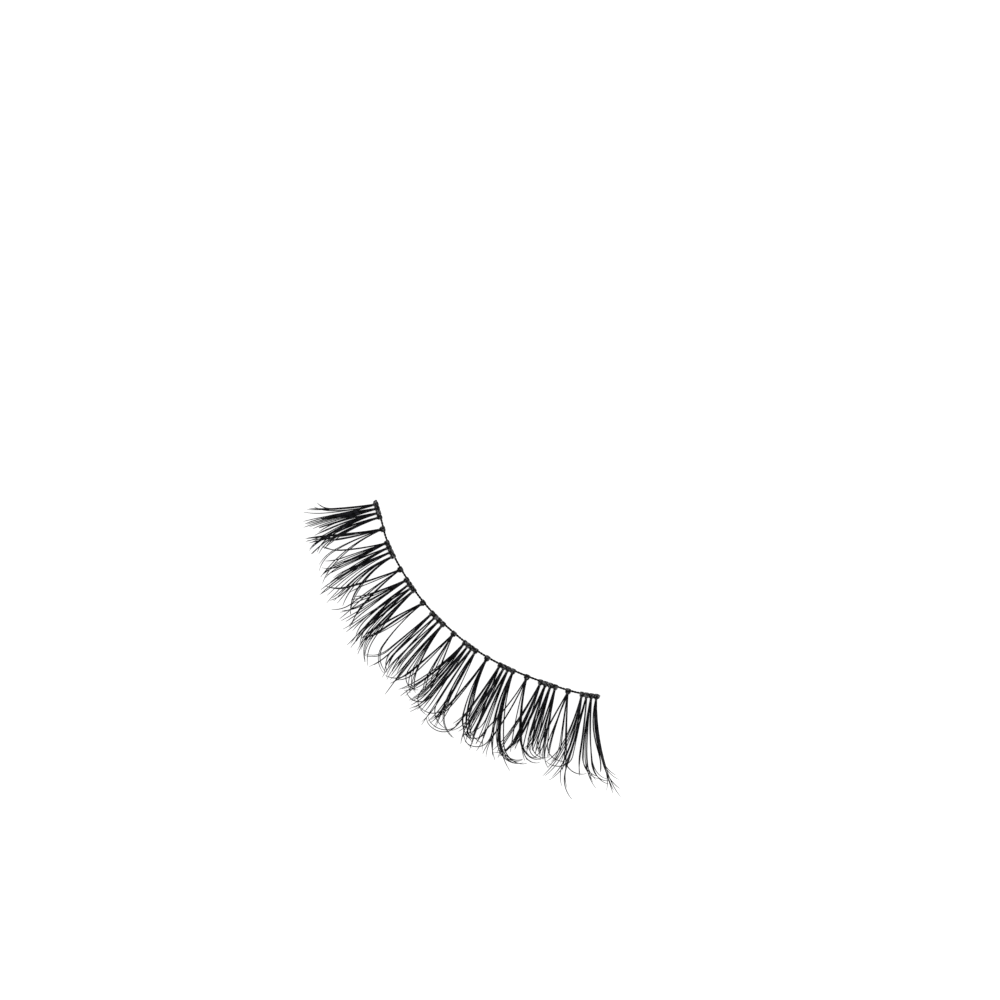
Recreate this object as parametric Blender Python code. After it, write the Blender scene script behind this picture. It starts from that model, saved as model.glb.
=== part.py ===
"""A false eyelash strip: fine hair tufts, each knotted by itself onto one thin core thread.

Metres, +Z up. +X runs along the band from the inner to the outer corner of the eye, and the hair
points to -Y. The strip lies by itself on a surface at Z = 0, on its knots and on the bellies of the
hair, with the tips curled up.
"""

import bisect
import math

import bmesh
import bpy
from mathutils import Matrix, Vector

MM = 0.001

# Thread and knots
THREAD_RADIUS = 0.10 * MM
BEAD_RADIUS = 0.17 * MM
BEAD_LENGTH = 0.16 * MM
THREAD_STEP = 0.45 * MM
THREAD_BEVEL_RESOLUTION = 2
KNOT_RADIUS = 0.19 * MM
KNOT_SIDES = 8
KNOT_GAP = 0.03 * MM
BORE_CLEARANCE = 0.02 * MM
SINGLE_KNOT_WIDTH = 0.60 * MM
SHOULDER_LENGTH = 0.11 * MM
SHOULDER_SHARE = 0.92
NECK_LENGTH = 0.30 * MM
NECK_WIDTH = 0.25 * MM
NECK_HEIGHT = 0.15 * MM

# Hair locks
LOCK_THICKNESS = 0.115 * MM
LOCK_TIP_THICKNESS = 0.035 * MM
TAPER_POWER = 1.6
HOOK_START = 0.68
HOOK_POWER = 1.5
BELLY_SHARE = 0.28
CURL_RISE = 0.43
CURL_VARIATION = 0.16
GOLDEN_SHARE = 0.618034
LOCK_STATIONS = (0.1, 0.25, 0.42, 0.6, 0.76, 0.89, 1.0)
PATH_STEPS = 60
THICK_LOCK_HAIRS = 5

# The band seen from above, in mm: how far along the chord each station is, and how far it bows.
BAND = (
    (0.0, 0.0),
    (1.7, 1.1),
    (3.5, 2.3),
    (7.0, 3.75),
    (11.0, 4.75),
    (15.2, 5.02),
    (19.0, 4.72),
    (22.8, 3.76),
    (27.1, 2.1),
    (28.9, 1.25),
    (30.86, 0.0),
)
TANGENT_REACH = 0.6 * MM

# The knots' places along the thread: clusters of four with a single tuft between two clusters.
KNOT_PLACES_MM = (
    (0.42, 0.88, 1.36, 1.84),
    (3.10,),
    (4.57, 5.10, 5.60, 6.10),
    (7.65,),
    (8.90, 9.45, 9.86, 10.27),
    (11.80,),
    (13.25, 13.75, 14.28, 14.85),
    (16.32,),
    (17.78, 18.25, 18.72, 19.22),
    (20.60,),
    (22.10, 22.58, 23.05, 23.60),
    (25.15,),
    (26.65, 27.20, 27.75, 28.28),
    (29.65,),
    (31.10, 31.60, 32.10, 32.62),
)

# A row for each lock of hair. lean is where it points at the knot, spread is the fan of its hairs,
# bend turns it evenly and hook turns its tip, all in degrees and towards the outer corner if above 0.
LOCK_COLUMNS = ("tuft", "hairs", "lean", "spread", "bend", "hook", "reach_mm")
LOCKS = (
    (1, 2, -7, 2, -6, -38, 6.0),
    (1, 3, -4, 3, -14, 0, 7.4),
    (1, 2, -1, 1, -8, 0, 7.1),
    (2, 3, -7, 2, 1, 0, 5.6),
    (2, 4, -4, 3, 5, 0, 7.3),
    (2, 2, -1, 1, 7, 0, 6.0),
    (3, 2, -6, 2, 7, 0, 6.2),
    (3, 2, -3, 1, 16, 0, 6.9),
    (3, 5, -2, 3, 30, 0, 8.0),
    (4, 5, 0, 3, 26, 0, 7.6),
    (4, 2, 4, 2, 22, 0, 6.8),
    (5, 3, -2, 2, -10, -10, 7.8),
    (5, 2, 2, 2, -6, 0, 5.8),
    (5, 2, 6, 1, 0, 0, 8.0),
    (5, 2, 10, 2, 8, 0, 7.8),
    (6, 3, -5, 3, 1, 0, 6.4),
    (6, 2, 0, 1, 1, 0, 5.8),
    (6, 3, 6, 2, -8, 0, 7.2),
    (7, 4, -1, 3, 12, 0, 7.2),
    (7, 2, 3, 1, 10, 0, 6.2),
    (8, 2, -4, 1, 8, 0, 6.4),
    (8, 5, -2, 3, 16, 0, 8.4),
    (9, 3, -2, 3, 24, 0, 7.6),
    (9, 5, 1, 3, 31, 8, 7.7),
    (10, 2, -9, 2, -2, -8, 7.4),
    (10, 1, -5, 2, -4, 0, 5.2),
    (10, 1, 4, 1, 10, 0, 8.2),
    (10, 2, 8, 2, 12, 25, 8.2),
    (11, 3, -6, 3, -5, 0, 6.0),
    (11, 2, -3, 1, -1, 0, 8.0),
    (11, 3, 1, 1, 2, 5, 7.6),
    (12, 4, 3.5, 3, 7, 0, 8.2),
    (13, 6, 1.5, 5, 6, 8, 8.6),
    (14, 2, 2, 2, 1, 0, 7.4),
    (14, 5, 8, 2, 3, 40, 9.0),
    (15, 3, -10, 2, 7, 0, 7.4),
    (15, 2, -7, 2, 6, 0, 7.0),
    (15, 2, 0, 2, 15, 58, 8.8),
    (16, 4, -1, 2, -3, -5, 8.4),
    (16, 2, 3, 1, -4, 0, 7.5),
    (17, 4, -1, 4, 2, 0, 7.6),
    (18, 4, -3, 3, 8, 0, 8.2),
    (18, 3, 1, 2, 5, 0, 6.8),
    (19, 3, 0, 2, 6, 0, 8.0),
    (19, 4, 5, 2, 15, 15, 8.0),
    (20, 3, -4, 3, -6, -25, 8.0),
    (20, 3, 9, 3, 5, 0, 6.6),
    (20, 2, 19, 2, -6, 0, 6.4),
    (21, 5, -3, 3, -11, 0, 8.1),
    (21, 3, 1, 2, -3, 0, 7.8),
    (22, 5, -1, 5, 0, -5, 8.6),
    (23, 2, -3.5, 1, 2, 0, 8.2),
    (23, 4, 0, 2, 0, 0, 9.0),
    (24, 4, -1, 3, 12, 10, 9.0),
    (24, 3, 8, 3, -7, 0, 8.6),
    (25, 4, -4.5, 1.2, -6, 0, 8.6),
    (25, 4, 0, 1.5, 18, 30, 8.6),
    (25, 2, 6, 1, 12, 0, 6.6),
    (26, 2, -7, 1, -3, -172, 10.8),
    (26, 4, -4, 2, -3, 0, 8.1),
    (26, 4, 1, 3, -2, -8, 8.8),
    (27, 5, -3, 4, 2, 0, 8.4),
    (28, 5, -4, 3, 4, 0, 7.9),
    (28, 3, 2, 2, 4, 0, 8.6),
    (29, 5, 0, 4, 22, 40, 9.2),
    (29, 3, 5, 2, 20, 105, 10.3),
    (30, 4, -5.5, 4, -12, 0, 8.9),
    (30, 4, 9, 2, 14, 65, 8.2),
    (31, 3, -8, 2, -6, 0, 8.8),
    (31, 4, -2, 2, -7, -6, 8.7),
    (32, 4, -4, 2, -4, 0, 7.2),
    (32, 3, 0, 2, 4, 0, 7.0),
    (33, 3, -3, 2, 3, 0, 6.4),
    (33, 5, 1, 3, 4, 0, 7.0),
    (34, 4, 3, 2, -4, 0, 7.2),
    (34, 2, 7, 1, -2, 0, 7.4),
    (35, 4, -9, 5, 6, 30, 7.2),
    (35, 4, 10, 4, -5, 0, 7.8),
    (36, 3, -2, 2, -12, -12, 8.0),
    (36, 4, 2, 3, -17, 0, 8.9),
    (37, 3, -4, 1, -1, 60, 10.4),
    (37, 2, 5, 1, -5, 0, 8.0),
    (38, 5, -2, 2, 7, 50, 9.3),
    (38, 3, 3, 2, 10, 85, 9.7),
    (39, 2, -7.5, 1, 44, 0, 8.2),
    (39, 3, -1.5, 1, 36, 5, 9.4),
    (39, 3, 4, 1, 28, 18, 10.4),
)


def clear_scene():
    for old in list(bpy.data.objects):
        bpy.data.objects.remove(old)


def new_collection(name):
    collection = bpy.data.collections.new(name)
    bpy.context.scene.collection.children.link(collection)
    return collection


def new_material(name, colour, roughness):
    material = bpy.data.materials.new(name)
    material.use_nodes = True
    shader = material.node_tree.nodes["Principled BSDF"]
    shader.inputs["Base Color"].default_value = (*colour, 1.0)
    shader.inputs["Roughness"].default_value = roughness
    shader.inputs["Metallic"].default_value = 0.0
    return material


def bow_at(chord):
    """The band's bow at a place along its chord, on a smooth curve through the stations."""
    along = [row[0] * MM for row in BAND]
    bow = [row[1] * MM for row in BAND]
    slope = [(bow[i + 1] - bow[i]) / (along[i + 1] - along[i]) for i in range(len(BAND) - 1)]
    ends = (1.5 * slope[0] - 0.5 * slope[1], 1.5 * slope[-1] - 0.5 * slope[-2])
    inner = [(slope[i - 1] + slope[i]) / 2 for i in range(1, len(slope))]
    tangents = [ends[0], *inner, ends[1]]
    i = min(max(bisect.bisect_right(along, chord) - 1, 0), len(slope) - 1)
    span = along[i + 1] - along[i]
    t = (chord - along[i]) / span
    rest = 1 - t
    return (
        bow[i] * rest * rest * (1 + 2 * t)
        + bow[i + 1] * t * t * (3 - 2 * t)
        + span * t * rest * (tangents[i] * rest - tangents[i + 1] * t)
    )


class Band:
    """The core thread's line, as a place for each length along it."""

    SAMPLES = 1200

    def __init__(self):
        chord = BAND[-1][0] * MM
        self.points = []
        self.lengths = [0.0]
        for i in range(self.SAMPLES + 1):
            x = chord * i / self.SAMPLES
            self.points.append(Vector((x, -bow_at(x), 0)))
        for before, after in zip(self.points, self.points[1:]):
            self.lengths.append(self.lengths[-1] + (after - before).length)
        self.length = self.lengths[-1]

    def on_line(self, along):
        i = min(max(bisect.bisect_right(self.lengths, along) - 1, 0), self.SAMPLES - 1)
        share = (along - self.lengths[i]) / (self.lengths[i + 1] - self.lengths[i])
        return self.points[i].lerp(self.points[i + 1], share)

    def tangent(self, along):
        kept = min(max(along, 0.0), self.length)
        low = self.on_line(max(kept - TANGENT_REACH, 0.0))
        high = self.on_line(min(kept + TANGENT_REACH, self.length))
        return (high - low).normalized()

    def place(self, along, out):
        """The point this far along the band, and this far out of it on the hair's side."""
        kept = min(max(along, 0.0), self.length)
        tangent = self.tangent(kept)
        outward = Vector((tangent.y, -tangent.x, 0))
        return self.on_line(kept) + tangent * (along - kept) + outward * out


def knot_frame(band, along):
    """Where a knot sits: X along the thread, -Y out to the hair, at the thread's height."""
    tangent = band.tangent(along)
    turn = Matrix.Rotation(math.atan2(tangent.y, tangent.x), 4, "Z")
    return Matrix.Translation(band.on_line(along) + Vector((0, 0, KNOT_RADIUS))) @ turn


def lift_at(share, reach, curl, half_thickness):
    """A lock's height: down from the knot to the surface, then up in a curl to the tip."""
    if share < BELLY_SHARE:
        drop = 1 - share / BELLY_SHARE
        return half_thickness + (KNOT_RADIUS - half_thickness) * drop * drop
    rise = (share - BELLY_SHARE) / (1 - BELLY_SHARE)
    return half_thickness + curl * reach * rise * rise


def thickness_at(share):
    taper = (1 - share) ** (1 / TAPER_POWER)
    return LOCK_TIP_THICKNESS + (LOCK_THICKNESS - LOCK_TIP_THICKNESS) * taper


def heading_at(share, lean, bend, hook):
    """Where a hair points, this far along it: an even bend, and a hook over its last stretch."""
    hooked = max(0.0, (share - HOOK_START) / (1 - HOOK_START))
    return math.radians(lean + bend * share + hook * hooked**HOOK_POWER)


def lock_path(band, along, lean, bend, hook, reach, curl):
    """The lock's centre and half thickness at each station, from the neck of its knot to the tip."""
    place, out = along, KNOT_RADIUS + NECK_LENGTH
    step = reach / PATH_STEPS
    wanted = [round(share * PATH_STEPS) for share in LOCK_STATIONS]
    path = []
    for i in range(1, PATH_STEPS + 1):
        share = i / PATH_STEPS
        heading = heading_at(share, lean, bend, hook)
        place += step * math.sin(heading)
        out += step * math.cos(heading)
        if i in wanted:
            half = thickness_at(share) / 2
            point = band.place(place, out)
            point.z = lift_at(share, reach, curl, half)
            path.append((point, half))
    return path


def strands_of(tuft):
    """The locks that leave a knot, inner side first: a thick lock is two, at the sides of its fan."""
    strands = []
    for row in LOCKS:
        lock = dict(zip(LOCK_COLUMNS, row))
        if lock["tuft"] != tuft:
            continue
        sides = (-0.5, 0.5) if lock["hairs"] >= THICK_LOCK_HAIRS else (0.0,)
        for side in sides:
            lean = lock["lean"] + side * lock["spread"]
            strands.append((lean, lock["bend"], lock["hook"], lock["reach_mm"] * MM))
    return strands


def sleeve(mesh, width):
    """A short eight-sided sleeve round the thread, X along its bore."""
    across_corners = KNOT_RADIUS / math.cos(math.pi / KNOT_SIDES)
    bore = (THREAD_RADIUS + BORE_CLEARANCE) / math.cos(math.pi / KNOT_SIDES)
    turn = Matrix.Rotation(math.pi / 2, 4, "Y") @ Matrix.Rotation(math.pi / KNOT_SIDES, 4, "Z")
    bmesh.ops.create_cone(
        mesh,
        cap_ends=True,
        segments=KNOT_SIDES,
        radius1=across_corners,
        radius2=across_corners,
        depth=width,
        matrix=turn,
    )
    caps = [face for face in mesh.faces if len(face.verts) == KNOT_SIDES]
    bmesh.ops.inset_individual(mesh, faces=caps, thickness=0)
    for cap in caps:
        for vertex in cap.verts:
            vertex.co.y *= bore / across_corners
            vertex.co.z *= bore / across_corners
    rims = [edge for cap in caps for edge in cap.edges]
    bmesh.ops.delete(mesh, geom=caps, context="FACES_ONLY")
    bmesh.ops.bridge_loops(mesh, edges=rims)


def extruded(mesh, face, corners):
    """Draws one face out until its corners lie at the given places."""
    made = bmesh.ops.extrude_discrete_faces(mesh, faces=[face])["faces"][0]
    for vertex, corner in zip(made.verts, corners(made.verts)):
        vertex.co = corner
    return made


def neck(mesh, columns):
    """Draws the sleeve's front side out, narrows it into the neck of the tuft and splits its end."""
    mesh.faces.ensure_lookup_table()
    front = min(mesh.faces, key=lambda face: face.calc_center_median().y + abs(face.normal.x))

    def shoulder(vertices):
        out = -KNOT_RADIUS - SHOULDER_LENGTH
        return [Vector((vertex.co.x * SHOULDER_SHARE, out, vertex.co.z)) for vertex in vertices]

    def narrowed(vertices):
        for vertex in vertices:
            yield Vector((
                math.copysign(NECK_WIDTH / 2, vertex.co.x),
                -KNOT_RADIUS - NECK_LENGTH,
                math.copysign(NECK_HEIGHT / 2, vertex.co.z),
            ))

    front = extruded(mesh, front, shoulder)
    front = extruded(mesh, front, narrowed)
    level = [edge for edge in front.edges if abs(edge.verts[0].co.z - edge.verts[1].co.z) < 0.01 * MM]
    if columns > 1:
        bmesh.ops.subdivide_edges(mesh, edges=level, cuts=columns - 1, use_grid_fill=True)
    front_y = -KNOT_RADIUS - NECK_LENGTH
    ends = [
        face for face in mesh.faces
        if all(abs(vertex.co.y - front_y) < 0.001 * MM for vertex in face.verts)
    ]
    return sorted(ends, key=lambda face: face.calc_center_median().x)


def draw_lock(mesh, face, path, to_local):
    """Draws a column of the neck out along its path, square in section and thinner to the tip."""
    centre = face.calc_center_median()
    signs = {}
    for corner in face.verts:
        away = corner.co - centre
        signs[corner.index] = (math.copysign(1, away.x), math.copysign(1, away.z))
    order = [signs[corner.index] for corner in face.verts]
    before = centre
    for point, half in path:
        local = to_local @ point
        forward = (local - before).normalized()
        side = Vector((0, 0, 1)).cross(forward).normalized()
        up = forward.cross(side)

        def ring(vertices, local=local, side=side, up=up, half=half):
            return [local + side * half * x + up * half * z for x, z in order]

        face = extruded(mesh, face, ring)
        before = local


def knot_width(places, index):
    """As wide as the neighbours leave room for, up to the width of a single knot."""
    nearest = min(abs(places[index] - other) for i, other in enumerate(places) if i != index)
    return min(nearest - KNOT_GAP, SINGLE_KNOT_WIDTH)


def make_tuft(band, places, index, material, collection, parent):
    number = index + 1
    frame = knot_frame(band, places[index])
    strands = strands_of(number)
    mesh = bmesh.new()
    sleeve(mesh, knot_width(places, index))
    bmesh.ops.recalc_face_normals(mesh, faces=mesh.faces)
    columns = neck(mesh, len(strands))
    to_local = frame.inverted()
    for i, (column, (lean, bend, hook, reach)) in enumerate(zip(columns, strands)):
        along = places[index] + column.calc_center_median().x
        phase = (GOLDEN_SHARE * (number + 3 * i)) % 1
        curl = CURL_RISE * (1 + CURL_VARIATION * (2 * phase - 1))
        draw_lock(mesh, column, lock_path(band, along, lean, bend, hook, reach, curl), to_local)
    bmesh.ops.recalc_face_normals(mesh, faces=mesh.faces)
    name = f"tuft_{number:02d}"
    data = bpy.data.meshes.new(name)
    mesh.to_mesh(data)
    mesh.free()
    data.materials.append(material)
    tuft = bpy.data.objects.new(name, data)
    tuft.location = frame.to_translation()
    tuft.rotation_euler = frame.to_euler()
    tuft.parent = parent
    collection.objects.link(tuft)
    return tuft


def make_thread(band, material, collection, parent):
    """The core thread, with a small bead of set glue on each cut end."""
    curve = bpy.data.curves.new("band_thread", "CURVE")
    curve.dimensions = "3D"
    curve.bevel_depth = THREAD_RADIUS
    curve.bevel_resolution = THREAD_BEVEL_RESOLUTION
    curve.use_fill_caps = True
    bead = BEAD_RADIUS / THREAD_RADIUS
    inside = BEAD_LENGTH + 0.5 * THREAD_RADIUS
    steps = round((band.length - 2 * inside) / THREAD_STEP)
    stretch = (band.length - 2 * inside) / steps
    places = [(0.0, 0.6 * bead), (0.4 * BEAD_LENGTH, bead), (BEAD_LENGTH, 0.9 * bead)]
    places += [(inside + stretch * i, 1.0) for i in range(steps + 1)]
    places += [(band.length - along, radius) for along, radius in reversed(places[:3])]
    spline = curve.splines.new("POLY")
    spline.points.add(len(places) - 1)
    for point, (along, radius) in zip(spline.points, places):
        point.co = (*band.on_line(along).xy, KNOT_RADIUS, 1)
        point.radius = radius
    curve.materials.append(material)
    thread = bpy.data.objects.new("band_thread", curve)
    thread.parent = parent
    collection.objects.link(thread)
    return thread


def centre_on_origin(parent, pieces):
    """Moves the strip so that the middle of the underside of its box is at the origin."""
    bpy.context.view_layer.update()
    graph = bpy.context.evaluated_depsgraph_get()
    corners = []
    for piece in pieces:
        solid = piece.evaluated_get(graph)
        corners += [solid.matrix_world @ vertex.co for vertex in solid.to_mesh().vertices]
        solid.to_mesh_clear()
    low = Vector(min(corner[i] for corner in corners) for i in range(3))
    high = Vector(max(corner[i] for corner in corners) for i in range(3))
    parent.location = (-(low.x + high.x) / 2, -(low.y + high.y) / 2, -low.z)


def main():
    clear_scene()
    collection = new_collection("false_eyelash_strip")
    hair = new_material("black_hair", (0.012, 0.011, 0.012), 0.42)
    cotton = new_material("black_thread", (0.010, 0.010, 0.011), 0.6)
    strip = bpy.data.objects.new("strip_origin", None)
    collection.objects.link(strip)
    band = Band()
    places = [place * MM for group in KNOT_PLACES_MM for place in group]
    pieces = [make_thread(band, cotton, collection, strip)]
    for index in range(len(places)):
        pieces.append(make_tuft(band, places, index, hair, collection, strip))
    centre_on_origin(strip, pieces)


main()
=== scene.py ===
"""The finished look of the false eyelash strip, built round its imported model.

Every hair, winding and skin of glue is placed by how far along the core thread it is, how far out of
it on the hair's side, and how high above the surface that the strip lies on.
"""

import bisect
import math
import random

import bmesh
import bpy
from mathutils import Matrix, Vector


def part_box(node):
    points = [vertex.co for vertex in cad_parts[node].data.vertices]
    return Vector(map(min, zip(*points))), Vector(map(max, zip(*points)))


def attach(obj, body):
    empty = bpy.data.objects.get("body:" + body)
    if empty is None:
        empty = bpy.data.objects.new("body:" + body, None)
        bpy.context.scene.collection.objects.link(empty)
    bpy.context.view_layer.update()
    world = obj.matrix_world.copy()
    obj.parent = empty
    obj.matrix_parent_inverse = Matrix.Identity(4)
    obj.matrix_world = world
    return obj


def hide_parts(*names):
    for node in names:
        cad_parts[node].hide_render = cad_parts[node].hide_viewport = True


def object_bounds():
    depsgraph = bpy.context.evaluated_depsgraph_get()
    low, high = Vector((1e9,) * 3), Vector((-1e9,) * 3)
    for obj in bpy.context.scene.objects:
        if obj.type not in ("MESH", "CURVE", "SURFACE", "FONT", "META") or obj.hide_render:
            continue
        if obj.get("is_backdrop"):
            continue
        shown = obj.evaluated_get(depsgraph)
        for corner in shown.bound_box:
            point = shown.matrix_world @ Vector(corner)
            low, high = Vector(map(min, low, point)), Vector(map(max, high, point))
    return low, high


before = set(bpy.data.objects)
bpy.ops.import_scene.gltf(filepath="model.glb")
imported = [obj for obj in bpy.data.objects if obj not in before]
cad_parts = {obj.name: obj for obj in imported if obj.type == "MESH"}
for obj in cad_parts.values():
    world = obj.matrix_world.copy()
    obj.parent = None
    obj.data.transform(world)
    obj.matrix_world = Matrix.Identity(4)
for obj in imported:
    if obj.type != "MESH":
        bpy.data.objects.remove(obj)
cad_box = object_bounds()

MM = 0.001
SEED = 11

# Thread and knots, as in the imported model
THREAD_RADIUS = 0.10 * MM
KNOT_RADIUS = 0.19 * MM
KNOT_GAP = 0.03 * MM
SINGLE_KNOT_WIDTH = 0.60 * MM
NECK_LENGTH = 0.30 * MM
NECK_WIDTH = 0.25 * MM
NECK_HEIGHT = 0.15 * MM

# The band's direction at a place is taken over this much of it to each side
TANGENT_REACH = 0.6 * MM

# The core thread: two plies twisted together, drawn in this many steps a turn
PLY_RADIUS = 0.075 * MM
PLY_OFFSET = 0.043 * MM
TWIST_PITCH = 0.62 * MM
TWIST_STEPS = 10

# A single hair: its radius, and its taper to this share of it at the tip
HAIR_RADIUS = 0.052 * MM
HAIR_TIP_SHARE = 0.35
HAIR_TAPER_POWER = 13.0

# A hair's course in equal steps, and the steps that get a point, which are close together where it
# hooks. It starts inside the neck, is lowest at the belly share of its length and then curls up.
PATH_STEPS = 60
POINT_STEPS = (*range(6, 42, 6), *range(42, PATH_STEPS + 1))
ROOT_OUT = KNOT_RADIUS + 0.6 * NECK_LENGTH
HOOK_START = 0.68
HOOK_POWER = 1.5
BELLY_SHARE = 0.28
CURL_RISE = 0.43

# Hairs run in clumps of this many, set this many degrees apart, and the clumps fan out over a lock
CLUMP = 2
CLUMP_GAP = 0.9
FAN = 2.6

# How the clumps of a lock differ: spreads in degrees, and pairs of the least and the most share
CLUMP_LEAN_SPREAD = 0.5
CLUMP_BEND_SPREAD = 2.0
CLUMP_HOOK_SPREAD = 8
CLUMP_HOOKS = (0.85, 1.1)
CLUMP_REACHES = (0.94, 1.04)
CLUMP_CURLS = (0.88, 1.1)

# The hooks differ more towards the outer corner, by this many degrees a knot
TIP_TANGLE = 0.5

# The curl also differs from knot to knot and from lock to lock, in steps that never repeat
CURL_VARIATION = 0.16
GOLDEN_SHARE = 0.618034
LOCK_STRIDE = 3

# How the hairs of a clump differ, in the same terms
HAIR_LEAN_SPREAD = 0.25
HAIR_BEND_SPREAD = 0.8
HAIR_HOOK_SPREAD = 7.0
HAIR_REACHES = (0.93, 1.01)
HAIR_CURLS = (0.96, 1.04)
HAIR_THICKNESSES = (0.85, 1.2)

# How high a hair starts in its neck, as shares of the neck's height from its middle, and how high
# above the surface it is where it is lowest, in hair radii
ROOT_HEIGHTS = (-0.35, 0.35)
REST_HEIGHTS = (1.0, 3.5)

# How the stray hairs differ; their places are shares of the neck's width
STRAY_PLACES = (-0.3, 0.3)
STRAY_CURLS = (0.9, 1.1)
STRAY_THICKNESSES = (0.95, 1.15)
STRAY_REST_HEIGHT = 2 * HAIR_RADIUS

# The glued bar that holds a group of knots on the thread
BAR_OUT = 0.080 * MM
BAR_DEPTH = 0.255 * MM
BAR_HEIGHT = 0.150 * MM
BAR_STEP = 0.03 * MM
BAR_SIDES = 14
BAR_END_MARGIN = 0.02 * MM
BAR_END_ROUND = 0.08 * MM
BAR_END_SHARE = 0.45
WAIST = 0.12
WAIST_REACH = 0.26 * MM

# The skin of glue over bar and cones, made in mm
GLUE_VOXEL = 0.024
GLUE_SMOOTHING = 3

# The cone of glued hair in front of a knot: how far out each ring is in mm, half its width as a share
# of the knot's width, and half its height as a share of the bar's
CONE_RINGS = (
    (0.10, 0.40, 0.75),
    (0.17, 0.46, 0.85),
    (0.26, 0.44, 0.80),
    (0.34, 0.34, 0.66),
    (0.42, 0.25, 0.54),
    (0.50, 0.20, 0.46),
    (0.58, 0.17, 0.38),
)
CONE_SIDES = 14
CONE_NARROWEST = 0.42 * NECK_WIDTH
CONE_WOBBLE = 0.05

# The fibre wound round the bar at each knot
FIBRE_RADIUS = 0.034 * MM
COIL_PITCH = 0.088 * MM
COIL_STEPS = 14
COIL_SLANT = 0.6
COIL_PROUD = 0.004 * MM

# The loops of fibre drawn tight round the neck of a tuft, in the same terms as the cone's rings
NECK_LOOPS = (
    (0.33, 0.34, 0.62),
    (0.41, 0.27, 0.52),
    (0.49, 0.22, 0.46),
)
LOOP_STEPS = 12
LOOP_NARROWEST = 0.45 * NECK_WIDTH
LOOP_TIGHTNESS = 0.98
LOOP_LEAN = 0.05
LOOP_TILT = 0.015 * MM
LOOP_THICKNESS = 0.8

# The grain of dyed fibre: how far it moves the roughness down and up, and how deep it is
GRAIN_DETAIL = 4.0
GRAIN_POLISH = 0.08
GRAIN_DULLING = 0.10
RELIEF_STRENGTH = 0.5
RELIEF_DEPTH = 0.004 * MM

# The photograph's frame on the floor: its width, its turn in degrees, and its middle, measured from
# the band's start
FRAME_WIDTH = 103.6 * MM
VIEW_TURN = 41.12
VIEW_CENTRE = (9.70 * MM, 8.475 * MM)
CAMERA_HEIGHT = 0.9
SENSOR_WIDTH = 36.0

# The plain floor, with a glow of its own so that no shadow shows on it
FLOOR_TONE = 0.32
FLOOR_GLOW = 0.78
FLOOR_GRAIN = 400.0
FLOOR_ROUGHNESSES = (0.85, 1.0)
FLOOR_HALF_WIDTH = 3.0
FLOOR_DROP = 0.01 * MM

# Round soft lights aimed at the middle of the strip: name, place and width in metres, and power
LIGHTS = (
    ("overhead_light", (0.0, -0.02, 0.75), 0.15, 0.8),
    ("back_light", (0.1, 0.5, 0.3), 0.12, 1.2),
    ("fill_light", (0.4, 0.3, 0.5), 0.4, 0.25),
)
WORLD_STRENGTH = 1.0

# The band seen from above, in mm: how far along the chord each station is, and how far it bows.
BAND = (
    (0.0, 0.0),
    (1.7, 1.1),
    (3.5, 2.3),
    (7.0, 3.75),
    (11.0, 4.75),
    (15.2, 5.02),
    (19.0, 4.72),
    (22.8, 3.76),
    (27.1, 2.1),
    (28.9, 1.25),
    (30.86, 0.0),
)

# The knots' places along the thread: clusters of four with a single tuft between two clusters.
KNOT_PLACES_MM = (
    (0.42, 0.88, 1.36, 1.84),
    (3.10,),
    (4.57, 5.10, 5.60, 6.10),
    (7.65,),
    (8.90, 9.45, 9.86, 10.27),
    (11.80,),
    (13.25, 13.75, 14.28, 14.85),
    (16.32,),
    (17.78, 18.25, 18.72, 19.22),
    (20.60,),
    (22.10, 22.58, 23.05, 23.60),
    (25.15,),
    (26.65, 27.20, 27.75, 28.28),
    (29.65,),
    (31.10, 31.60, 32.10, 32.62),
)

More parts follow.
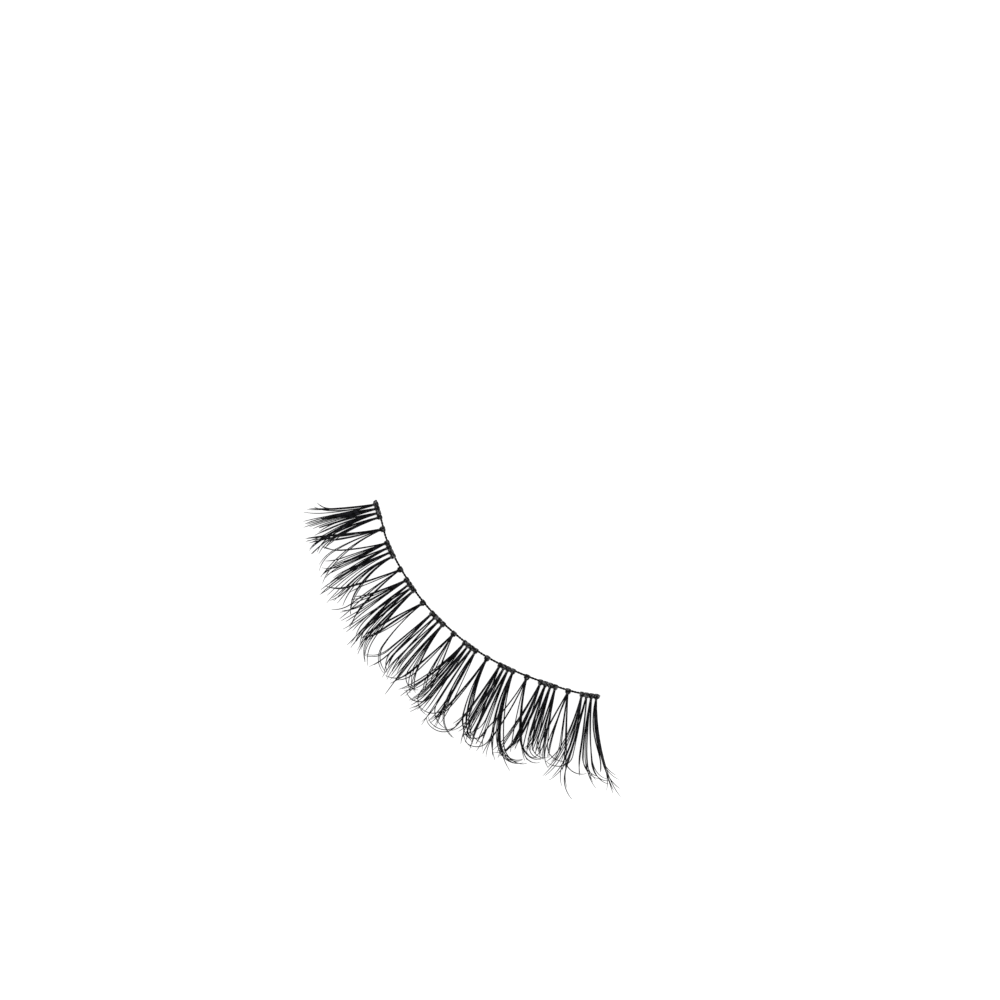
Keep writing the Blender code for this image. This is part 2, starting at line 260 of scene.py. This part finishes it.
# A row for each lock of hair. lean is where it points at the knot, spread is the fan of its hairs,
# bend turns it evenly and hook turns its tip, all in degrees and towards the outer corner if above 0.
LOCK_COLUMNS = ("tuft", "hairs", "lean", "spread", "bend", "hook", "reach_mm")
LOCKS = (
    (1, 2, -7, 2, -6, -38, 6.0),
    (1, 3, -4, 3, -14, 0, 7.4),
    (1, 2, -1, 1, -8, 0, 7.1),
    (2, 3, -7, 2, 1, 0, 5.6),
    (2, 4, -4, 3, 5, 0, 7.3),
    (2, 2, -1, 1, 7, 0, 6.0),
    (3, 2, -6, 2, 7, 0, 6.2),
    (3, 2, -3, 1, 16, 0, 6.9),
    (3, 5, -2, 3, 30, 0, 8.0),
    (4, 5, 0, 3, 26, 0, 7.6),
    (4, 2, 4, 2, 22, 0, 6.8),
    (5, 3, -2, 2, -10, -10, 7.8),
    (5, 2, 2, 2, -6, 0, 5.8),
    (5, 2, 6, 1, 0, 0, 8.0),
    (5, 2, 10, 2, 8, 0, 7.8),
    (6, 3, -5, 3, 1, 0, 6.4),
    (6, 2, 0, 1, 1, 0, 5.8),
    (6, 3, 6, 2, -8, 0, 7.2),
    (7, 4, -1, 3, 12, 0, 7.2),
    (7, 2, 3, 1, 10, 0, 6.2),
    (8, 2, -4, 1, 8, 0, 6.4),
    (8, 5, -2, 3, 16, 0, 8.4),
    (9, 3, -2, 3, 24, 0, 7.6),
    (9, 5, 1, 3, 31, 8, 7.7),
    (10, 2, -9, 2, -2, -8, 7.4),
    (10, 1, -5, 2, -4, 0, 5.2),
    (10, 1, 4, 1, 10, 0, 8.2),
    (10, 2, 8, 2, 12, 25, 8.2),
    (11, 3, -6, 3, -5, 0, 6.0),
    (11, 2, -3, 1, -1, 0, 8.0),
    (11, 3, 1, 1, 2, 5, 7.6),
    (12, 4, 3.5, 3, 7, 0, 8.2),
    (13, 6, 1.5, 5, 6, 8, 8.6),
    (14, 2, 2, 2, 1, 0, 7.4),
    (14, 5, 8, 2, 3, 40, 9.0),
    (15, 3, -10, 2, 7, 0, 7.4),
    (15, 2, -7, 2, 6, 0, 7.0),
    (15, 2, 0, 2, 15, 58, 8.8),
    (16, 4, -1, 2, -3, -5, 8.4),
    (16, 2, 3, 1, -4, 0, 7.5),
    (17, 4, -1, 4, 2, 0, 7.6),
    (18, 4, -3, 3, 8, 0, 8.2),
    (18, 3, 1, 2, 5, 0, 6.8),
    (19, 3, 0, 2, 6, 0, 8.0),
    (19, 4, 5, 2, 15, 15, 8.0),
    (20, 3, -4, 3, -6, -25, 8.0),
    (20, 3, 9, 3, 5, 0, 6.6),
    (20, 2, 19, 2, -6, 0, 6.4),
    (21, 5, -3, 3, -11, 0, 8.1),
    (21, 3, 1, 2, -3, 0, 7.8),
    (22, 5, -1, 5, 0, -5, 8.6),
    (23, 2, -3.5, 1, 2, 0, 8.2),
    (23, 4, 0, 2, 0, 0, 9.0),
    (24, 4, -1, 3, 12, 10, 9.0),
    (24, 3, 8, 3, -7, 0, 8.6),
    (25, 4, -4.5, 1.2, -6, 0, 8.6),
    (25, 4, 0, 1.5, 18, 30, 8.6),
    (25, 2, 6, 1, 12, 0, 6.6),
    (26, 2, -7, 1, -3, -172, 10.8),
    (26, 4, -4, 2, -3, 0, 8.1),
    (26, 4, 1, 3, -2, -8, 8.8),
    (27, 5, -3, 4, 2, 0, 8.4),
    (28, 5, -4, 3, 4, 0, 7.9),
    (28, 3, 2, 2, 4, 0, 8.6),
    (29, 5, 0, 4, 22, 40, 9.2),
    (29, 3, 5, 2, 20, 105, 10.3),
    (30, 4, -5.5, 4, -12, 0, 8.9),
    (30, 4, 9, 2, 14, 65, 8.2),
    (31, 3, -8, 2, -6, 0, 8.8),
    (31, 4, -2, 2, -7, -6, 8.7),
    (32, 4, -4, 2, -4, 0, 7.2),
    (32, 3, 0, 2, 4, 0, 7.0),
    (33, 3, -3, 2, 3, 0, 6.4),
    (33, 5, 1, 3, 4, 0, 7.0),
    (34, 4, 3, 2, -4, 0, 7.2),
    (34, 2, 7, 1, -2, 0, 7.4),
    (35, 4, -9, 5, 6, 30, 7.2),
    (35, 4, 10, 4, -5, 0, 7.8),
    (36, 3, -2, 2, -12, -12, 8.0),
    (36, 4, 2, 3, -17, 0, 8.9),
    (37, 3, -4, 1, -1, 60, 10.4),
    (37, 2, 5, 1, -5, 0, 8.0),
    (38, 5, -2, 2, 7, 50, 9.3),
    (38, 3, 3, 2, 10, 85, 9.7),
    (39, 2, -7.5, 1, 44, 0, 8.2),
    (39, 3, -1.5, 1, 36, 5, 9.4),
    (39, 3, 4, 1, 28, 18, 10.4),
)

# Single hairs that stray from the locks, in the same terms
STRAY_COLUMNS = ("tuft", "lean", "bend", "hook", "reach_mm")
STRAYS = (
    (1, -1, -22, -20, 6.2),
    (5, -5, 4, 0, 7.4),
    (10, 2, 6, -40, 8.0),
    (13, 5, 2, 0, 8.6),
    (14, 9, 3, 30, 8.6),
    (15, 3, -16, 0, 6.3),
    (16, 1, -2, 60, 7.6),
    (19, 1, 4, 0, 9.1),
    (19, 4, 4, 135, 8.2),
    (20, -5, -4, -60, 8.2),
    (21, -3, -2, 100, 8.9),
    (22, 1, -4, -150, 9.2),
    (23, 3, -3, 90, 9.0),
    (24, 5, -4, -120, 9.0),
    (25, 3, 20, 70, 9.0),
    (26, -2, -4, 80, 9.2),
    (28, 4, 2, -130, 9.0),
    (29, 5, -2, -125, 9.8),
    (29, 3, 20, 90, 10.2),
    (29, 2, 26, 20, 10.0),
    (29, 1, 26, 115, 10.4),
    (30, 8, 16, 80, 8.8),
    (30, 10, 14, 95, 9.2),
    (30, 6, 4, 0, 7.6),
    (31, 1, 6, 120, 9.2),
    (32, 2, 4, 130, 8.6),
    (33, -1, 4, 120, 8.2),
    (34, 9, 2, 120, 8.3),
    (34, 3, 10, -60, 7.6),
    (35, -7, 4, 40, 8.0),
    (36, 0, -8, 130, 9.0),
    (37, -3, 2, -130, 8.8),
    (38, 1, 6, 40, 9.4),
    (39, 2, 30, 30, 9.8),
)


def bow_at(chord):
    """The band's bow at a place along its chord, on a smooth curve through the stations."""
    along = [row[0] * MM for row in BAND]
    bow = [row[1] * MM for row in BAND]
    slope = [(bow[i + 1] - bow[i]) / (along[i + 1] - along[i]) for i in range(len(BAND) - 1)]
    ends = (1.5 * slope[0] - 0.5 * slope[1], 1.5 * slope[-1] - 0.5 * slope[-2])
    inner = [(slope[i - 1] + slope[i]) / 2 for i in range(1, len(slope))]
    tangents = [ends[0], *inner, ends[1]]
    i = min(max(bisect.bisect_right(along, chord) - 1, 0), len(slope) - 1)
    span = along[i + 1] - along[i]
    t = (chord - along[i]) / span
    rest = 1 - t
    return (
        bow[i] * rest * rest * (1 + 2 * t)
        + bow[i + 1] * t * t * (3 - 2 * t)
        + span * t * rest * (tangents[i] * rest - tangents[i + 1] * t)
    )


class Band:
    """The core thread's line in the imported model, as a place for each length along it."""

    SAMPLES = 1200

    def __init__(self):
        low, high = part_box("band_thread")
        chord = BAND[-1][0] * MM
        bows = [bow_at(chord * i / self.SAMPLES) for i in range(self.SAMPLES + 1)]
        self.start = Vector((
            (low.x + high.x - chord) / 2,
            low.y + THREAD_RADIUS + max(bows),
            (low.z + high.z) / 2,
        ))
        self.points = [
            self.start + Vector((chord * i / self.SAMPLES, -bow, 0)) for i, bow in enumerate(bows)
        ]
        self.lengths = [0.0]
        for before, after in zip(self.points, self.points[1:]):
            self.lengths.append(self.lengths[-1] + (after - before).length)
        self.length = self.lengths[-1]

    def on_line(self, along):
        """The point of the thread's line at a length along it."""
        i = min(max(bisect.bisect_right(self.lengths, along) - 1, 0), self.SAMPLES - 1)
        share = (along - self.lengths[i]) / (self.lengths[i + 1] - self.lengths[i])
        return self.points[i].lerp(self.points[i + 1], share)

    def tangent(self, along):
        """The line's direction there, evened out over a short stretch."""
        kept = min(max(along, 0.0), self.length)
        low = self.on_line(max(kept - TANGENT_REACH, 0.0))
        high = self.on_line(min(kept + TANGENT_REACH, self.length))
        return (high - low).normalized()

    def place(self, along, out, height=0.0):
        """The point this far along the band, this far out on the hair's side and above the surface."""
        kept = min(max(along, 0.0), self.length)
        tangent = self.tangent(kept)
        outward = Vector((tangent.y, -tangent.x, 0))
        point = self.on_line(kept) + tangent * (along - kept) + outward * out
        point.z = self.start.z - KNOT_RADIUS + height
        return point


def fibre_material(name, dark, light, stops, roughness, grain_mm, specular):
    """Dyed fibre: near black, with a fine grain in its colour, roughness and relief; a pale grain
    colour is painted sheen.
    """
    material = bpy.data.materials.new(name)
    material.use_nodes = True
    nodes, links = material.node_tree.nodes, material.node_tree.links
    shader = nodes["Principled BSDF"]
    shader.inputs["Metallic"].default_value = 0.0
    shader.inputs["Specular IOR Level"].default_value = specular
    place = nodes.new("ShaderNodeTexCoord")
    grain = nodes.new("ShaderNodeTexNoise")
    grain.inputs["Scale"].default_value = 1 / (grain_mm * MM)
    grain.inputs["Detail"].default_value = GRAIN_DETAIL
    links.new(place.outputs["Object"], grain.inputs["Vector"])
    # The colour grain: its pale light end is painted sheen on the hair and painted glints on the glue
    # and windings
    colour = nodes.new("ShaderNodeValToRGB")
    for element, stop, shade in zip(colour.color_ramp.elements, stops, (dark, light)):
        element.position = stop
        element.color = (*shade, 1)
    links.new(grain.outputs["Fac"], colour.inputs["Fac"])
    links.new(colour.outputs["Color"], shader.inputs["Base Color"])
    sheen = nodes.new("ShaderNodeMapRange")
    sheen.inputs["To Min"].default_value = roughness - GRAIN_POLISH
    sheen.inputs["To Max"].default_value = roughness + GRAIN_DULLING
    links.new(grain.outputs["Fac"], sheen.inputs["Value"])
    links.new(sheen.outputs["Result"], shader.inputs["Roughness"])
    bump = nodes.new("ShaderNodeBump")
    bump.inputs["Strength"].default_value = RELIEF_STRENGTH
    bump.inputs["Distance"].default_value = RELIEF_DEPTH
    links.new(grain.outputs["Fac"], bump.inputs["Height"])
    links.new(bump.outputs["Normal"], shader.inputs["Normal"])
    return material


def dyed_hair():
    """Black hair with hardly any shine, and a faint cool painted sheen in patches of its colour."""
    return fibre_material(
        "dyed_hair",
        dark=(0.0006, 0.0006, 0.0007),
        # Painted sheen: the pale, cool end of the hair's colour grain
        light=(0.012, 0.012, 0.015),
        stops=(0.42, 0.64),
        roughness=0.38,
        grain_mm=0.4,
        specular=0.04,
    )


def wound_fibre():
    """The fibre of the windings: black, mottled with grey painted glints in its colour."""
    return fibre_material(
        "wound_fibre",
        dark=(0.002, 0.002, 0.002),
        # Painted glints: the grey mottles in the windings' colour
        light=(0.11, 0.11, 0.115),
        stops=(0.51, 0.62),
        roughness=0.36,
        grain_mm=0.2,
        specular=0.08,
    )


def set_glue():
    """Black glue gone hard, mottled with grey painted glints in its colour, like the windings in it.
    """
    return fibre_material(
        "set_glue",
        dark=(0.002, 0.002, 0.002),
        # Painted glints: the grey mottles in the glue's colour
        light=(0.12, 0.12, 0.125),
        stops=(0.51, 0.62),
        roughness=0.36,
        grain_mm=0.2,
        specular=0.08,
    )


def twisted_cotton():
    """The core thread's cotton: black and dull."""
    return fibre_material(
        "twisted_cotton",
        dark=(0.0015, 0.0015, 0.0015),
        light=(0.005, 0.005, 0.005),
        stops=(0.35, 0.75),
        roughness=0.7,
        grain_mm=0.08,
        specular=0.05,
    )


def new_curve(name, radius, material, resolution=2):
    """An empty round curve of this radius, for lines to be added to."""
    curve = bpy.data.curves.new(name, "CURVE")
    curve.dimensions = "3D"
    curve.bevel_depth = radius
    curve.bevel_resolution = resolution
    curve.use_fill_caps = True
    curve.materials.append(material)
    piece = bpy.data.objects.new(name, curve)
    bpy.context.scene.collection.objects.link(piece)
    return piece


def add_line(piece, points, radii):
    """One line of the curve, with its thickness at each point as a share of the curve's radius."""
    spline = piece.data.splines.new("POLY")
    spline.points.add(len(points) - 1)
    for made, point, radius in zip(spline.points, points, radii):
        made.co = (*point, 1)
        made.radius = radius
    spline.use_smooth = True


def add_even_line(piece, points, radius=1.0):
    """One line of the curve, equally thick all along."""
    add_line(piece, points, [radius] * len(points))


def rows_of(number, columns, table):
    """One tuft's rows of a table, with their values named."""
    rows = (dict(zip(columns, row)) for row in table)
    return [row for row in rows if row["tuft"] == number]


def lift_at(share, tip_rise, root_height, rest_height):
    """A hair's height: down from the knot to the surface, then up in a curl to the tip."""
    if share < BELLY_SHARE:
        drop = 1 - share / BELLY_SHARE
        return rest_height + (root_height - rest_height) * drop * drop
    rise = (share - BELLY_SHARE) / (1 - BELLY_SHARE)
    return rest_height + tip_rise * rise * rise


def heading_at(share, lean, bend, hook):
    """Where a hair points, this far along it: an even bend, and a hook over its last stretch."""
    hooked = max(0.0, (share - HOOK_START) / (1 - HOOK_START))
    return math.radians(lean + bend * share + hook * hooked**HOOK_POWER)


def hair_line(band, along, hair, root_height, rest_height):
    """The points of one hair, from inside the neck of its knot to its tip."""
    place, out = along, ROOT_OUT
    step = hair["reach"] / PATH_STEPS
    tip_rise = hair["curl"] * hair["reach"]
    points = [band.place(place, out, root_height)]
    for i in range(1, PATH_STEPS + 1):
        share = i / PATH_STEPS
        heading = heading_at(share, hair["lean"], hair["bend"], hair["hook"])
        place += step * math.sin(heading)
        out += step * math.cos(heading)
        if i in POINT_STEPS:
            height = lift_at(share, tip_rise, root_height, rest_height)
            points.append(band.place(place, out, height))
    return points


def hair_radii(thickness):
    """The taper of one hair, as shares of the usual radius."""
    radii = []
    for step in (0, *POINT_STEPS):
        taper = 1 - (step / PATH_STEPS) ** HAIR_TAPER_POWER
        radii.append(thickness * (HAIR_TIP_SHARE + (1 - HAIR_TIP_SHARE) * taper))
    return radii


def clump_of_hair(lock, count, number, order, dice):
    """A few hairs that run together: the same course for all of them, with small differences."""
    phase = (GOLDEN_SHARE * (number + LOCK_STRIDE * order)) % 1
    tangle = CLUMP_HOOK_SPREAD + TIP_TANGLE * number
    lean = dice.gauss(0, CLUMP_LEAN_SPREAD)
    bend = lock["bend"] + dice.gauss(0, CLUMP_BEND_SPREAD)
    hook = lock["hook"] * dice.uniform(*CLUMP_HOOKS) + dice.gauss(0, tangle)
    reach = lock["reach_mm"] * MM * dice.uniform(*CLUMP_REACHES)
    curl = CURL_RISE * (1 + CURL_VARIATION * (2 * phase - 1)) * dice.uniform(*CLUMP_CURLS)
    for k in range(count):
        beside = (k + 0.5 - count / 2) * CLUMP_GAP
        yield {
            "lean": lean + beside + dice.gauss(0, HAIR_LEAN_SPREAD),
            "bend": bend + dice.gauss(0, HAIR_BEND_SPREAD),
            "hook": hook + dice.gauss(0, HAIR_HOOK_SPREAD),
            "reach": reach * dice.uniform(*HAIR_REACHES),
            "curl": curl * dice.uniform(*HAIR_CURLS),
        }


def hairs_of(lock, number, order, dice):
    """A lock's hairs in clumps, which fan out over its spread."""
    clumps = max(1, math.ceil(lock["hairs"] / CLUMP))
    left = lock["hairs"]
    hairs = []
    for k in range(clumps):
        across = (k + 0.5) / clumps - 0.5
        for hair in clump_of_hair(lock, min(left, CLUMP), number, order, dice):
            hair["lean"] += lock["lean"] + lock["spread"] * across * FAN
            hairs.append(hair)
        left -= CLUMP
    return hairs


def add_locks(piece, band, number, along, dice):
    """The hairs of a knot's locks, side by side in its neck in the order in which they fan out."""
    hairs = []
    for order, lock in enumerate(rows_of(number, LOCK_COLUMNS, LOCKS)):
        hairs += hairs_of(lock, number, order, dice)
    for k, hair in enumerate(hairs):
        side = (k + 0.5) / len(hairs) - 0.5
        place = along + side * (NECK_WIDTH - 2 * HAIR_RADIUS)
        root_height = KNOT_RADIUS + NECK_HEIGHT * dice.uniform(*ROOT_HEIGHTS)
        rest_height = HAIR_RADIUS * dice.uniform(*REST_HEIGHTS)
        points = hair_line(band, place, hair, root_height, rest_height)
        add_line(piece, points, hair_radii(dice.uniform(*HAIR_THICKNESSES)))


def add_strays(piece, band, number, along, dice):
    """The single hairs of a knot that leave its locks and curl by themselves."""
    for hair in rows_of(number, STRAY_COLUMNS, STRAYS):
        place = along + dice.uniform(*STRAY_PLACES) * NECK_WIDTH
        hair["reach"] = hair["reach_mm"] * MM
        hair["curl"] = CURL_RISE * dice.uniform(*STRAY_CURLS)
        points = hair_line(band, place, hair, KNOT_RADIUS, STRAY_REST_HEIGHT)
        add_line(piece, points, hair_radii(dice.uniform(*STRAY_THICKNESSES)))


def make_tuft(band, number, along, material, dice):
    """All the hair of one knot."""
    piece = new_curve(f"hairs_{number:02d}", HAIR_RADIUS, material)
    add_locks(piece, band, number, along, dice)
    add_strays(piece, band, number, along, dice)
    return piece


def knot_width(places, index):
    """As wide as the neighbours leave room for, up to the width of a single knot."""
    nearest = min(abs(places[index] - other) for i, other in enumerate(places) if i != index)
    return min(nearest - KNOT_GAP, SINGLE_KNOT_WIDTH)


class Bar:
    """The lump of set glue along one group of knots: thicker at each knot, rounded at its ends."""

    def __init__(self, band, centres, low, high):
        self.band = band
        self.centres = centres
        self.low = low
        self.high = high

    def swell(self, along):
        """How thick the bar is here, as a share of its full thickness."""
        nearest = min(abs(along - centre) for centre in self.centres)
        pinched = 1 - WAIST * min(nearest / WAIST_REACH, 1.0) ** 2
        room = min(along - self.low, self.high - along)
        end = math.sqrt(max(1 - (1 - min(room / BAR_END_ROUND, 1.0)) ** 2, 0.0))
        return pinched * (BAR_END_SHARE + (1 - BAR_END_SHARE) * end)

    def point(self, along, turn, proud=0.0):
        """The point of its surface at a turn about the bar, or this far proud of the surface."""
        size = self.swell(along)
        return self.band.place(
            along,
            BAR_OUT + (BAR_DEPTH * size + proud) * math.cos(turn),
            KNOT_RADIUS + (BAR_HEIGHT * size + proud) * math.sin(turn),
        )

    def rings(self):
        """Rings of points round the bar, from one end to the other."""
        steps = round((self.high - self.low) / BAR_STEP)
        places = [self.low + (self.high - self.low) * i / steps for i in range(steps + 1)]
        turns = [2 * math.pi * j / BAR_SIDES for j in range(BAR_SIDES)]
        return [[self.point(along, turn) for turn in turns] for along in places]


def make_bar(band, members, places):
    """The bar that holds these knots, which reaches the thread's end where one of them is the last."""
    low = places[members[0]] - knot_width(places, members[0]) / 2
    high = places[members[-1]] + knot_width(places, members[-1]) / 2
    if members[0] == 0:
        low = BAR_END_MARGIN
    if members[-1] == len(places) - 1:
        high = band.length - BAR_END_MARGIN
    return Bar(band, [places[index] for index in members], low, high)


def cone_rings(band, along, width, dice):
    """The cone of glued hair in front of one knot, from inside the bar to the neck of the tuft."""
    rings = []
    for out, half, height in CONE_RINGS:
        half_width = max(half * width, CONE_NARROWEST)
        ring = []
        for j in range(CONE_SIDES):
            turn = 2 * math.pi * j / CONE_SIDES
            swell = 1 + dice.uniform(-CONE_WOBBLE, CONE_WOBBLE)
            ring.append(band.place(
                along + half_width * swell * math.cos(turn),
                out * MM,
                KNOT_RADIUS + height * BAR_HEIGHT * swell * math.sin(turn),
            ))
        rings.append(ring)
    return rings


def add_body(mesh, rings):
    """A closed body through rings of points, in mm."""
    made = [[mesh.verts.new(point / MM) for point in ring] for ring in rings]
    for before, after in zip(made, made[1:]):
        for j in range(len(before)):
            k = (j + 1) % len(before)
            mesh.faces.new((before[j], before[k], after[k], after[j]))
    mesh.faces.new(made[0])
    mesh.faces.new(made[-1])


def fused(name, mesh, material):
    """One closed skin over bodies that overlap, smoothed as wet glue draws itself smooth."""
    bmesh.ops.recalc_face_normals(mesh, faces=mesh.faces)
    data = bpy.data.meshes.new(name)
    mesh.to_mesh(data)
    mesh.free()
    lump = bpy.data.objects.new(name, data)
    bpy.context.scene.collection.objects.link(lump)
    skin = lump.modifiers.new("skin", "REMESH")
    skin.mode = "VOXEL"
    skin.voxel_size = GLUE_VOXEL
    smooth = lump.modifiers.new("smooth", "SMOOTH")
    smooth.iterations = GLUE_SMOOTHING
    bpy.context.view_layer.update()
    graph = bpy.context.evaluated_depsgraph_get()
    done = bpy.data.meshes.new_from_object(lump.evaluated_get(graph))
    lump.modifiers.clear()
    lump.data = done
    bpy.data.meshes.remove(data)
    done.transform(Matrix.Scale(MM, 4))
    done.materials.append(material)
    done.shade_smooth()
    return lump


def add_coil(piece, bar, along, width, dice):
    """Fibre wound round the bar at one knot."""
    room = width - 2 * FIBRE_RADIUS
    steps = max(2, round(room / COIL_PITCH)) * COIL_STEPS
    slant = dice.uniform(-COIL_SLANT, COIL_SLANT) * FIBRE_RADIUS
    points = []
    for i in range(steps + 1):
        turn = 2 * math.pi * i / COIL_STEPS
        place = along - room / 2 + room * i / steps + slant * math.cos(turn)
        place = min(max(place, bar.low + FIBRE_RADIUS), bar.high - FIBRE_RADIUS)
        points.append(bar.point(place, turn, proud=COIL_PROUD))
    add_even_line(piece, points)


def add_neck_loops(piece, band, along, width, dice):
    """The loops drawn tight round the neck of one tuft, each leaning a little its own way."""
    for out, half, height in NECK_LOOPS:
        reach = max(half * width, LOOP_NARROWEST) * LOOP_TIGHTNESS
        lean = dice.uniform(-LOOP_LEAN, LOOP_LEAN) * MM
        ring = []
        for i in range(LOOP_STEPS + 1):
            turn = 2 * math.pi * i / LOOP_STEPS
            ring.append(band.place(
                along + reach * math.cos(turn),
                out * MM + lean * math.cos(turn) + LOOP_TILT * math.sin(turn),
                KNOT_RADIUS + height * BAR_HEIGHT * math.sin(turn),
            ))
        add_even_line(piece, ring, LOOP_THICKNESS)


def make_knots(band, name, members, places, glue, fibre, dice):
    """One group of knots: the glue that holds them, and the windings that show in it."""
    bar = make_bar(band, members, places)
    mesh = bmesh.new()
    add_body(mesh, bar.rings())
    windings = new_curve(f"windings_{name}", FIBRE_RADIUS, fibre, resolution=1)
    for index in members:
        along, width = places[index], knot_width(places, index)
        add_body(mesh, cone_rings(band, along, width, dice))
        add_coil(windings, bar, along, width, dice)
        add_neck_loops(windings, band, along, width, dice)
    return [fused(f"glue_{name}", mesh, glue), windings]


def make_thread(band, material):
    """The core thread, two plies twisted together the whole length of the band."""
    piece = new_curve("core_thread", PLY_RADIUS, material)
    count = round(band.length / TWIST_PITCH * TWIST_STEPS)
    for start in (0.0, math.pi):
        points = []
        for i in range(count + 1):
            along = band.length * i / count
            turn = start + 2 * math.pi * along / TWIST_PITCH
            points.append(band.place(
                along,
                PLY_OFFSET * math.cos(turn),
                KNOT_RADIUS + PLY_OFFSET * math.sin(turn),
            ))
        add_even_line(piece, points)
    return piece


def pale_floor():
    """The floor's material: plain and dull, and glowing a little."""
    material = bpy.data.materials.new("pale_floor")
    material.use_nodes = True
    nodes, links = material.node_tree.nodes, material.node_tree.links
    shader = nodes["Principled BSDF"]
    shader.inputs["Base Color"].default_value = (FLOOR_TONE, FLOOR_TONE, FLOOR_TONE, 1)
    shader.inputs["Specular IOR Level"].default_value = 0.0
    shader.inputs["Emission Color"].default_value = (1, 1, 1, 1)
    shader.inputs["Emission Strength"].default_value = FLOOR_GLOW
    grain = nodes.new("ShaderNodeTexNoise")
    grain.inputs["Scale"].default_value = FLOOR_GRAIN
    sheen = nodes.new("ShaderNodeMapRange")
    sheen.inputs["To Min"].default_value = FLOOR_ROUGHNESSES[0]
    sheen.inputs["To Max"].default_value = FLOOR_ROUGHNESSES[1]
    links.new(grain.outputs["Fac"], sheen.inputs["Value"])
    links.new(sheen.outputs["Result"], shader.inputs["Roughness"])
    return material


def make_floor():
    """The plain floor, just under the strip."""
    mesh = bmesh.new()
    bmesh.ops.create_grid(mesh, x_segments=1, y_segments=1, size=FLOOR_HALF_WIDTH)
    data = bpy.data.meshes.new("floor")
    mesh.to_mesh(data)
    mesh.free()
    data.materials.append(pale_floor())
    floor = bpy.data.objects.new("floor", data)
    bpy.context.scene.collection.objects.link(floor)
    floor.location.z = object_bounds()[0][2] - FLOOR_DROP
    floor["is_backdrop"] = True


def make_lights():
    """White light from all round, and the soft lights that give the hair its shine."""
    world = bpy.data.worlds.new("studio")
    world.use_nodes = True
    world.node_tree.nodes["Background"].inputs["Color"].default_value = (1, 1, 1, 1)
    world.node_tree.nodes["Background"].inputs["Strength"].default_value = WORLD_STRENGTH
    bpy.context.scene.world = world
    for name, place, size, power in LIGHTS:
        light = bpy.data.lights.new(name, "AREA")
        light.shape = "DISK"
        light.size = size
        light.energy = power
        lamp = bpy.data.objects.new(name, light)
        lamp.location = place
        lamp.rotation_euler = Vector(place).to_track_quat("Z", "Y").to_euler()
        bpy.context.scene.collection.objects.link(lamp)


def make_camera(band):
    """The photograph's view, from straight above."""
    data = bpy.data.cameras.new("camera")
    data.sensor_width = SENSOR_WIDTH
    data.lens = SENSOR_WIDTH * CAMERA_HEIGHT / FRAME_WIDTH
    data.clip_start = 0.01
    data.clip_end = 10.0
    camera = bpy.data.objects.new("camera", data)
    camera.location = (
        band.start.x + VIEW_CENTRE[0],
        band.start.y + VIEW_CENTRE[1],
        CAMERA_HEIGHT,
    )
    camera.rotation_euler = (0, 0, math.radians(VIEW_TURN))
    bpy.context.scene.collection.objects.link(camera)
    bpy.context.scene.camera = camera
    bpy.context.scene.view_settings.view_transform = "Standard"


def dress_thread(band):
    """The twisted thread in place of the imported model's plain one."""
    thread = make_thread(band, twisted_cotton())
    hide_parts("band_thread")
    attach(thread, "root")


def dress_tufts(band, places, dice):
    """Single hairs in place of each packed tuft."""
    hair = dyed_hair()
    for number, along in enumerate(places, start=1):
        piece = make_tuft(band, number, along, hair, dice)
        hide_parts(f"tuft_{number:02d}")
        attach(piece, "root")


def dress_knots(band, places, dice):
    """Glue and windings on each group of knots."""
    glue, fibre = set_glue(), wound_fibre()
    first = 0
    for number, group in enumerate(KNOT_PLACES_MM, start=1):
        members = range(first, first + len(group))
        for piece in make_knots(band, f"{number:02d}", members, places, glue, fibre, dice):
            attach(piece, "root")
        first += len(group)


def main():
    dice = random.Random(SEED)
    band = Band()
    places = [place * MM for group in KNOT_PLACES_MM for place in group]
    make_camera(band)
    make_lights()
    make_floor()
    dress_thread(band)
    dress_tufts(band, places, dice)
    dress_knots(band, places, dice)
    boxes = {"cad": cad_box, "visual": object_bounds()}
    {name: [list(corner) for corner in box] for name, box in boxes.items()}


main()
